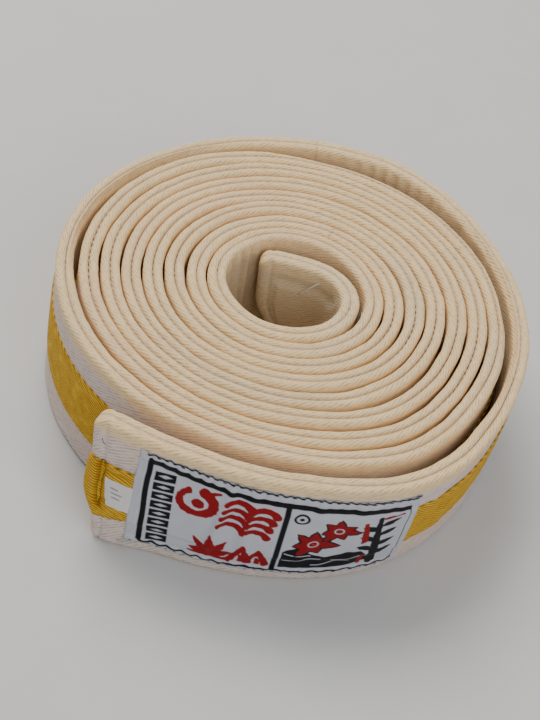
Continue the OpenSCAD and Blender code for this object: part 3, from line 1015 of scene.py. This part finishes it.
def label_face(s, w):
    """How far out the label's face lies, with puckers along its sewn edges and soft folds."""
    u = LABEL_TO - s
    z = label_z(u, w)
    over = fall(9.9, 12.2, np.abs(z - MID_Z))
    pucker = 0.46 * hump(w, 2.1, 1.3) * np.abs(np.sin(np.pi * u / 3.6 + 0.4 * wave(u, 6, 51)))
    low_margin = hump(w, LABEL_DEEP - 1.6, 1.4)
    pucker = pucker + 0.36 * low_margin * np.abs(np.sin(np.pi * u / 4.3 + 0.5 * wave(u, 6, 52)))
    seam = -0.24 * hump(w, 3.6, 0.5) - 0.20 * hump(w, LABEL_DEEP - 3.2, 0.5)
    seam = seam - 0.25 * fall(0.0, 0.7, w) - 0.25 * smooth(LABEL_DEEP - 0.7, LABEL_DEEP, w)
    folds = 0.95 * hump(u + 0.12 * w, 27.8, 1.5) + 0.55 * hump(u, 33.6, 1.7)
    folds = folds + 0.5 * hump(u + 0.1 * w, 53.0, 2.0) + 0.45 * hump(u, 64.0, 2.4)
    folds = folds * fall(12, 19, np.abs(w - LABEL_DEEP / 2 + 2))
    soft = 0.18 * wave2(u, w, 5.5, 14, 53)
    rib = 0.22 * hump(u, 2.4, 0.7) * fall(30, 36, w) - 0.18 * hump(u, 3.6, 0.5)
    ends = -0.30 * fall(0.0, 0.6, u) - 0.30 * smooth(LABEL_LONG - 0.6, LABEL_LONG, u)
    lift_ = pucker + seam + folds + soft + rib + ends
    face = HALF_T + 0.36 + 0.54 * over + 0.95 * relief(1, s, z) + lift_
    on_stripe = np.abs(z - MID_Z) < 10.9
    under = np.where(on_stripe, stripe_top(s, z), HALF_T + relief(1, s, z))
    return np.maximum(face, under + 0.09)


def with_alpha(front, back):
    """Colours of a piece's front and back rows, as one list."""
    rgb = np.concatenate([front, back], 1)
    return np.concatenate([rgb, np.ones(rgb.shape[:2] + (1,))], -1).reshape(-1, 4)


def rings_of(front, back):
    """Front and back rows of s, d, z and v, as one run of rings."""
    return swept(*(np.concatenate(pair, 1) for pair in zip(front, back)))


def sew_label():
    down = np.linspace(0, LABEL_DEEP, 188)
    u, w = np.meshgrid(np.linspace(0, LABEL_LONG, 401), down, indexing="ij")
    wavy = 0.18 * np.sin(2 * np.pi * u / 3.9) * fall(0, 3, w)
    wavy = wavy + 0.2 * np.sin(2 * np.pi * u / 4.6) * smooth(LABEL_DEEP - 4, LABEL_DEEP, w)
    face = label_face(LABEL_TO - u, w)
    front = LABEL_TO - u - slant(u, w), face, label_z(u, w) + wavy, w
    # the back has fewer rows, each below the lowest of the face's rows near it
    lowest = face.copy()
    for shift in range(1, 9):
        lowest[:, shift:] = np.minimum(lowest[:, shift:], face[:, :-shift])
        lowest[:, :-shift] = np.minimum(lowest[:, :-shift], face[:, shift:])
    pick = np.arange(183, 2, -6)
    bu, bw = u[:, pick], w[:, pick]
    back = LABEL_TO - bu - slant(bu, bw), lowest[:, pick] - 0.12, label_z(bu, bw), bw
    colours = with_alpha(label_pattern(u, w), np.ones(bu.shape + (3,)) * (0.60, 0.60, 0.65))
    o = add("label", rings_of(front, back), SATIN, "tail", "label", colours)


def label_row(w0, pitch, radius, rise):
    """Black stitches along the label, at w0 below its top."""
    starts = LABEL_AT + 1.6 + np.arange(0, 76.0, pitch)
    return stitches(starts, 1.7, lambda s: label_face(s, w0 + 0 * s) + 0.02,
                    lambda s: label_z(LABEL_TO - s, w0) + 0.10 * np.sin(s * 1.7),
                    1, radius, rings=4, sides=5, rise=rise)


sew_label()
rows = [label_row(0.75, 2.4, 0.17, 0.16), label_row(LABEL_DEEP - 1.1, 2.6, 0.13, 0.12)]
add("label_seam", joined(rows), DARK_THREAD, "tail", "label_seam")

# ---- the size tag under the label
TAG_LONG, TAG_TALL, TAG_TOP, TAG_END = 10.6, 10.2, 26.0, STRAP_LEN - 6.2


def tag_at(u, w):
    """Length along the strap and height of a place on the tag."""
    return TAG_END - u - 0.12 * (w - 5), TAG_TOP - w - 0.06 * u


def sew_tag():
    along = np.linspace(0, TAG_LONG, 54)
    u, w = np.meshgrid(along, np.linspace(0, TAG_TALL, 52), indexing="ij")
    s, z = tag_at(u, w)
    d = STRIPE_OUT + 0.34 + 0.10 * np.sin(u * 0.9 + 0.2 * w) + 0.10 * wave2(u, w, 3, 3, 61)
    d = d - 0.25 * smooth(5.6, 7.4, u) - 0.35 * fall(0, 1.2, u)
    d = np.maximum(d, stripe_top(s, z) + 0.10)
    # three short bars
    bars = [bar(u, w, 1.8 + 0.1 * k, 2.9 + 1.7 * k, end, 3.0 + 1.7 * k, 0.26)
            for k, end in enumerate((3.4, 4.4, 3.8))]
    ink = 0.75 * inside(np.minimum.reduce(bars))[..., None]
    rgb = np.array([0.80, 0.77, 0.74]) * (1 - ink) + np.array([0.10, 0.11, 0.14]) * ink
    bu, bw = np.meshgrid(along, np.array([TAG_TALL - 0.2, 5.0, 0.2]), indexing="ij")
    back_s, back_z = tag_at(bu, bw)
    back_d = np.interp(bu.ravel(), along, d.mean(axis=1)).reshape(bu.shape) - 0.28
    arrays = rings_of((s, d, z, w), (back_s, back_d, back_z, bw))
    colours = with_alpha(rgb, np.full(bu.shape + (3,), 0.75))
    o = add("size_tag", arrays, TAG_SATIN, "tail", "size_tag", colours)


sew_tag()


# ---- the seams across the two ends
def across(s0, z_low, z_high, face, side=1, pitch=2.1, length=1.5, radius=0.17):
    """Stitches that run up the strap's width at length s0."""
    tau = np.linspace(0, 1, 5)
    s = np.full(5, s0)
    parts = []
    for z0 in np.arange(z_low, z_high - length, pitch):
        z = z0 + tau * length
        d = face(s, z) + side * (0.14 * np.sin(np.pi * tau) - 0.06)
        parts.append(tube(place(s, d, z), radius))
    return parts


def cover_face(side, s, z):
    return side * (HALF_T * end_thickness(s) + relief(side, s, z))


def tail_front(s, z):
    on_stripe = np.abs(z - MID_Z) < STRIPE_HALF
    return np.where(on_stripe, stripe_face(s, z), cover_face(1, s, z))


def flap_back(s, z):
    return cover_face(-1, s, z)


rows = across(STRAP_LEN - 4.1, 14.6, 30.6, tail_front)
add("tail_end_seam", joined(rows), TAPE_THREAD, "tail", "tail_end_seam")
rows = across(4.1, 6.0, 39.0, flap_back, -1) + across(17.0, 12.0, 33.5, flap_back, -1)
add("flap_end_seam", joined(rows), EDGE_THREAD, "flap", "flap_end_seam")


# ---- loose thread ends
def wisp(segment, name, start, rows, radius, material=LOOSE_THREAD):
    """A stray thread through the given places, as length past start, distance out and height."""
    rows = np.array(rows, float)
    t = np.linspace(0, 1, len(rows))
    fine = np.linspace(0, 1, 14)
    s, d, z = (np.interp(fine, t, rows[:, k]) for k in range(3))
    kernel = np.array([0.25, 0.5, 0.25])
    for _ in range(3):
        for a in (s, d, z):
            a[1:-1] = np.convolve(a, kernel, "valid")
    add(name, tube(place(start + s, d, z), radius), material, segment)


wisp("tail", "tuft_1", LABEL_TO,
     [(0.8, 3.0, 4.4), (-0.4, 3.6, 3.6), (-2.6, 3.7, 3.9), (-4.4, 3.3, 3.2)], 0.12)
wisp("tail", "tuft_2", LABEL_TO,
     [(2.2, 3.1, 3.4), (0.6, 4.2, 2.2), (-0.6, 3.6, 3.4), (-1.8, 3.2, 4.0)], 0.10)
wisp("tail", "tuft_3", LABEL_TO, [(1.4, 3.2, 2.6), (0.2, 3.9, 3.6), (-1.2, 3.9, 2.6)], 0.10)
wisp("tail", "dark_fibre", STRAP_LEN,
     [(-3.4, 2.9, 38.4), (-3.9, 3.1, 37.2), (-4.5, 2.95, 36.6)], 0.09, DARK_THREAD)
wisp("roll", "eye_thread_2", 0,
     [(52.0, 5.3, 43.4), (48.5, 5.2, 44.6), (45.0, 4.9, 44.9), (41.5, 4.0, 44.2)], 0.16)
wisp("flap", "eye_thread_1", 0,
     [(15.0, -4.2, 34.2), (17.0, -4.4, 36.4), (19.5, -4.4, 39.2), (22.4, -3.9, 41.6)], 0.21)

# ---- floor, lights and camera
scene = bpy.context.scene
FLOOR_HALF = 6.0

g = Graph("floor")
coordinates = Value(g, g.tree.nodes.new("ShaderNodeTexCoord").outputs["Object"])
grain = g.noise(coordinates, 40.0, 3.0)
g.finish(g.mix(grain, (0.60, 0.595, 0.585), (0.64, 0.635, 0.625)), 0.85, 0.0)
floor_mesh = bpy.data.meshes.new("floor")
corners = [(x * FLOOR_HALF, y * FLOOR_HALF, 0) for x, y in ((-1, -1), (1, -1), (1, 1), (-1, 1))]
floor_mesh.from_pydata(corners, [], [(0, 1, 2, 3)])
floor_mesh.materials.append(g.material)
floor = bpy.data.objects.new("floor", floor_mesh)
scene.collection.objects.link(floor)

world = bpy.data.worlds.new("studio")
scene.world = world
world.use_nodes = True
background = world.node_tree.nodes["Background"].inputs
background["Color"].default_value = (0.96, 0.98, 1.0, 1)
background["Strength"].default_value = 0.45


def softbox(name, where, width, height, power, colour):
    """A rectangular light that faces the middle of the belt."""
    data = bpy.data.lights.new(name, "AREA")
    data.shape, data.size, data.size_y = "RECTANGLE", width, height
    data.energy, data.color = power, colour
    o = bpy.data.objects.new(name, data)
    o.location = where
    o.rotation_euler = (Vector((0, 0, 0.02)) - Vector(where)).to_track_quat("-Z", "Y").to_euler()
    scene.collection.objects.link(o)


softbox("key", (-0.35, 0.45, 0.95), 0.7, 0.6, 10.6, (1.0, 0.97, 0.92))
softbox("fill", (0.5, -0.8, 0.7), 0.9, 0.7, 4.6, (0.96, 0.98, 1.0))

camera_data = bpy.data.cameras.new("camera")
camera = bpy.data.objects.new("camera", camera_data)
scene.collection.objects.link(camera)
scene.camera = camera
camera_data.lens, camera_data.sensor_width = 75.0, 36.0
camera_data.clip_start, camera_data.clip_end = 0.01, 20.0
PITCH_DOWN, ROLL, DISTANCE = math.radians(44.0), math.radians(14.0), 0.506
TARGET = Vector((-0.00232, 0.01374, 0.0))
forward = Vector((0, math.cos(PITCH_DOWN), -math.sin(PITCH_DOWN)))
level = Vector((1, 0, 0))
above = level.cross(forward)
x_axis = level * math.cos(ROLL) + above * math.sin(ROLL)
y_axis = above * math.cos(ROLL) - level * math.sin(ROLL)
spot = TARGET - forward * DISTANCE
rows = [(x_axis[k], y_axis[k], -forward[k], spot[k]) for k in range(3)]
camera.matrix_world = Matrix((*rows, (0, 0, 0, 1)))

bpy.context.view_layer.update()
